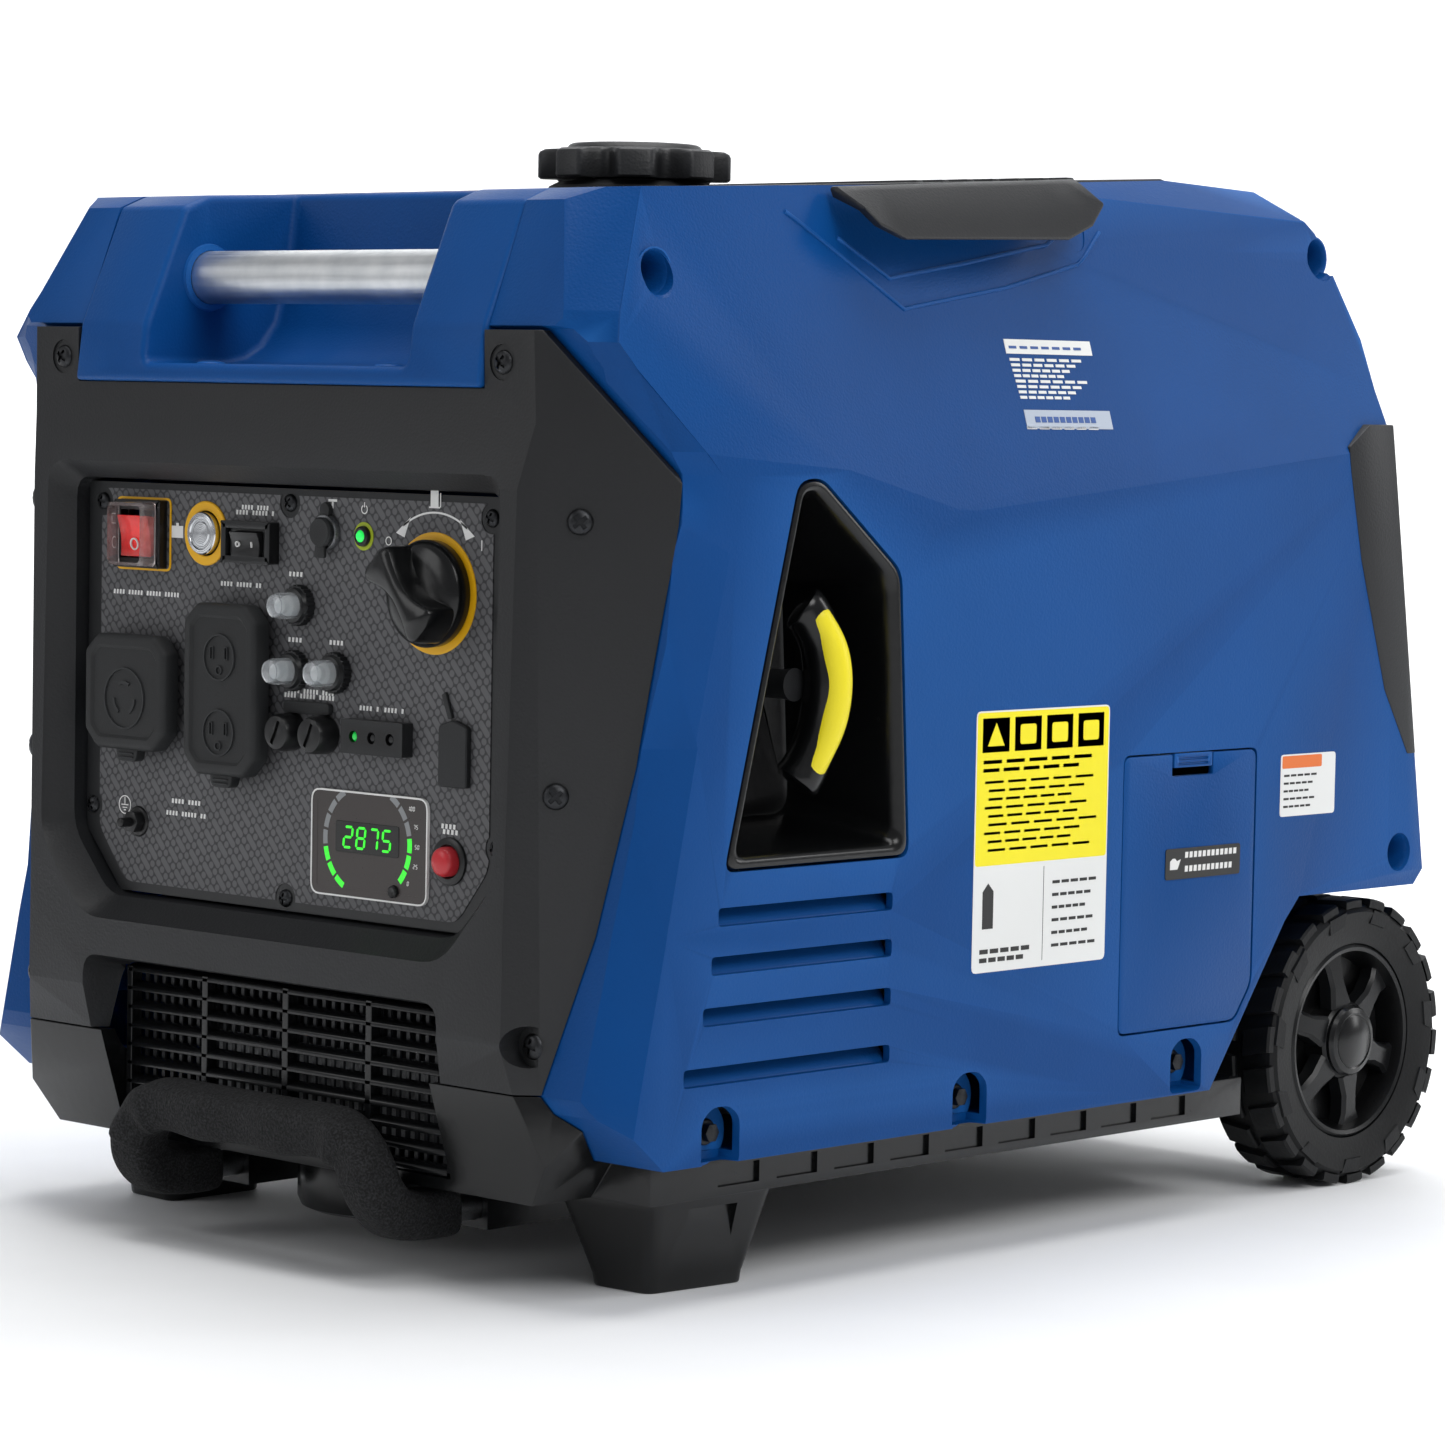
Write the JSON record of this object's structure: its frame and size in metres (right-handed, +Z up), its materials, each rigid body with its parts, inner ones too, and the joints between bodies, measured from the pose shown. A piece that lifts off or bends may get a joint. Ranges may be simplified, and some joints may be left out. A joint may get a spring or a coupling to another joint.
{
  "type": "inverter generator",
  "caption": "Wheeled inverter generator in a closed plastic housing, with a front control panel, carry bar, slide-out tow handle and recoil starter.",
  "frame": {"origin": "middle of the footprint, on the ground that the feet and wheels stand on", "axes": "+Z up; the control panel faces -Y and the wheels are at the +Y end; the recoil starter and the oil door face +X"},
  "size_m": [0.453, 0.6826, 0.5385],
  "materials": {
    "blue_housing": "moulded blue plastic with a fine leather grain",
    "black_housing": "moulded black plastic with a fine grain",
    "black_base": "smoother black moulded plastic",
    "control_black": "smooth black switchgear plastic",
    "panel_print": "printed grey film with a two-tone tile pattern",
    "soft_rubber": "soft black rubber",
    "tyre_rubber": "solid tyre rubber with block tread",
    "grip_foam": "pebbled black foam grip",
    "pull_grip": "black overmould with a yellow finger pad",
    "brushed_aluminium": "satin drawn aluminium tube",
    "plated_steel": "zinc plated or black coated steel",
    "tank_steel": "pressed steel, painted black",
    "cast_aluminium": "rough cast aluminium",
    "copper_windings": "enamelled copper windings on a laminated core",
    "red_switch": "translucent red switch plastic",
    "chrome_button": "spun chrome button face",
    "clear_button": "clear rubber boot over a breaker button",
    "oil_cap_yellow": "yellow dipstick cap"
  },
  "bodies": {
    "root": {"air_filter_box": "black_housing", "alternator_stator": "copper_windings", "axle": "plated_steel", "base_pan": "black_base", "battery": "black_housing", "carburettor": "cast_aluminium", "carry_bar": "brushed_aluminium", "control_plate": "panel_print", "cylinder_head": "cast_aluminium", "data_display": "control_black", "engine_block": "cast_aluminium", "exhaust_grille": "plated_steel", "front_foot_left": "soft_rubber", "front_foot_right": "soft_rubber", "front_frame": "black_housing", "front_top_cover": "blue_housing", "fuel_tank": "tank_steel", "intake_grille": "black_housing", "inverter_module": "cast_aluminium", "muffler": "plated_steel", "oil_drain_pipe": "soft_rubber", "outlet_duplex": "control_black", "outlet_round": "control_black", "rear_cover": "black_housing", "recoil_bezel": "black_housing", "recoil_housing": "black_housing", "side_grip_left": "black_housing", "side_grip_right": "black_housing", "side_panel_left": "blue_housing", "side_panel_right": "blue_housing", "top_deck": "black_housing"},
    "wheel_left": {"tyre_left": "tyre_rubber", "rim_left": "black_housing"},
    "wheel_right": {"tyre_right": "tyre_rubber", "rim_right": "black_housing"},
    "tow_handle": {"tow_handle_frame": "plated_steel", "foam_grip": "grip_foam"},
    "fuel_cap": {"fuel_cap": "black_housing"},
    "crank": {"crankshaft": "plated_steel", "alternator_rotor": "plated_steel"},
    "reel": {"recoil_reel": "black_housing"},
    "pull": {"pull_handle": "pull_grip"},
    "oil_door": {"oil_access_door": "blue_housing"},
    "latch": {"door_latch": "blue_housing"},
    "oil_cap": {"oil_fill_cap": "oil_cap_yellow"},
    "main_rocker": {"main_rocker": "red_switch"},
    "eco_rocker": {"eco_rocker": "control_black"},
    "start_button": {"start_button": "chrome_button"},
    "reset_button": {"reset_button": "red_switch"},
    "display_button": {"display_button": "control_black"},
    "dial": {"fuel_dial": "control_black"},
    "breaker_upper": {"breaker_upper": "clear_button"},
    "breaker_lower_left": {"breaker_lower_left": "clear_button"},
    "breaker_lower_right": {"breaker_lower_right": "clear_button"},
    "round_cover": {"outlet_round_cover": "soft_rubber"},
    "duplex_cover": {"outlet_duplex_cover": "soft_rubber"},
    "usb_cover": {"usb_cover": "soft_rubber"},
    "dc_cap": {"dc_socket_cap": "soft_rubber"},
    "parallel_left": {"parallel_cap_left": "control_black"},
    "parallel_right": {"parallel_cap_right": "control_black"}
  },
  "joints": [
    {"name": "wheel_left_roll", "type": "hinge", "parent": "root", "child": "wheel_left", "pos_m": [-0.19, 0.26478, 0.0765], "axis": [1, 0, 0], "continuous": true},
    {"name": "wheel_right_roll", "type": "hinge", "parent": "root", "child": "wheel_right", "pos_m": [0.19, 0.26478, 0.0765], "axis": [1, 0, 0], "continuous": true},
    {"name": "tow_handle_slide", "type": "slide", "parent": "root", "child": "tow_handle", "axis": [0, -1, 0], "range_m": [0, 0.28]},
    {"name": "fuel_cap_turn", "type": "hinge", "parent": "root", "child": "fuel_cap", "pos_m": [0, -0.07822, 0.53], "axis": [0, 0, 1], "range_deg": [0, 180]},
    {"name": "crank_spin", "type": "hinge", "parent": "root", "child": "crank", "pos_m": [0, -0.02222, 0.215], "axis": [0, 1, 0], "continuous": true},
    {"name": "reel_spin", "type": "hinge", "parent": "root", "child": "reel", "pos_m": [0, -0.22222, 0.215], "axis": [0, 1, 0], "range_deg": [0, 596], "stiffness_Nm_per_rad": 0.02},
    {"name": "starter_pull", "type": "slide", "parent": "root", "child": "pull", "axis": [1, 0, 0], "range_m": [0, 0.5]},
    {"name": "oil_door_swing", "type": "hinge", "parent": "root", "child": "oil_door", "pos_m": [0.226, 0.09778, 0.0995], "axis": [0, 1, 0], "range_deg": [0, 85]},
    {"name": "latch_press", "type": "slide", "parent": "oil_door", "child": "latch", "axis": [0, 0, -1], "range_m": [0, 0.003], "stiffness_N_per_m": 400},
    {"name": "oil_cap_turn", "type": "hinge", "parent": "root", "child": "oil_cap", "pos_m": [0.105, 0.06278, 0.15], "axis": [1, 0, 0], "range_deg": [0, 540]},
    {"name": "main_switch_tip", "type": "hinge", "parent": "root", "child": "main_rocker", "pos_m": [-0.1063, -0.30622, 0.3409], "axis": [1, 0, 0], "range_deg": [-16, 0]},
    {"name": "eco_switch_tip", "type": "hinge", "parent": "root", "child": "eco_rocker", "pos_m": [-0.0249, -0.30622, 0.3395], "axis": [1, 0, 0], "range_deg": [-16, 0]},
    {"name": "start_press", "type": "slide", "parent": "root", "child": "start_button", "axis": [0, 1, 0], "range_m": [0, 0.003], "stiffness_N_per_m": 400},
    {"name": "reset_press", "type": "slide", "parent": "root", "child": "reset_button", "axis": [0, 1, 0], "range_m": [0, 0.004], "stiffness_N_per_m": 400},
    {"name": "display_press", "type": "slide", "parent": "root", "child": "display_button", "axis": [0, 1, 0], "range_m": [0, 0.0015], "stiffness_N_per_m": 400},
    {"name": "fuel_dial_turn", "type": "hinge", "parent": "root", "child": "dial", "pos_m": [0.1, -0.30622, 0.3204], "axis": [0, 1, 0], "range_deg": [0, 90]},
    {"name": "breaker_upper_pop", "type": "slide", "parent": "root", "child": "breaker_upper", "axis": [0, -1, 0], "range_m": [0, 0.004]},
    {"name": "breaker_lower_left_pop", "type": "slide", "parent": "root", "child": "breaker_lower_left", "axis": [0, -1, 0], "range_m": [0, 0.004]},
    {"name": "breaker_lower_right_pop", "type": "slide", "parent": "root", "child": "breaker_lower_right", "axis": [0, -1, 0], "range_m": [0, 0.004]},
    {"name": "round_cover_lift", "type": "hinge", "parent": "root", "child": "round_cover", "pos_m": [-0.1045, -0.31122, 0.288], "axis": [-1, 0, 0], "range_deg": [0, 90]},
    {"name": "duplex_cover_lift", "type": "hinge", "parent": "root", "child": "duplex_cover", "pos_m": [-0.0345, -0.31122, 0.306], "axis": [-1, 0, 0], "range_deg": [0, 90]},
    {"name": "usb_cover_lift", "type": "hinge", "parent": "root", "child": "usb_cover", "pos_m": [0.1165, -0.30672, 0.2633], "axis": [-1, 0, 0], "range_deg": [0, 90]},
    {"name": "dc_cap_lift", "type": "hinge", "parent": "root", "child": "dc_cap", "pos_m": [0.027, -0.30662, 0.355], "axis": [-1, 0, 0], "range_deg": [0, 95]},
    {"name": "parallel_left_pull", "type": "slide", "parent": "root", "child": "parallel_left", "axis": [0, -1, 0], "range_m": [0, 0.03]},
    {"name": "parallel_right_pull", "type": "slide", "parent": "root", "child": "parallel_right", "axis": [0, -1, 0], "range_m": [0, 0.03]}
  ],
  "couplings": [
    {"joint": "starter_pull", "follows": "reel_spin", "m_per_rad": 0.048}
  ]
}
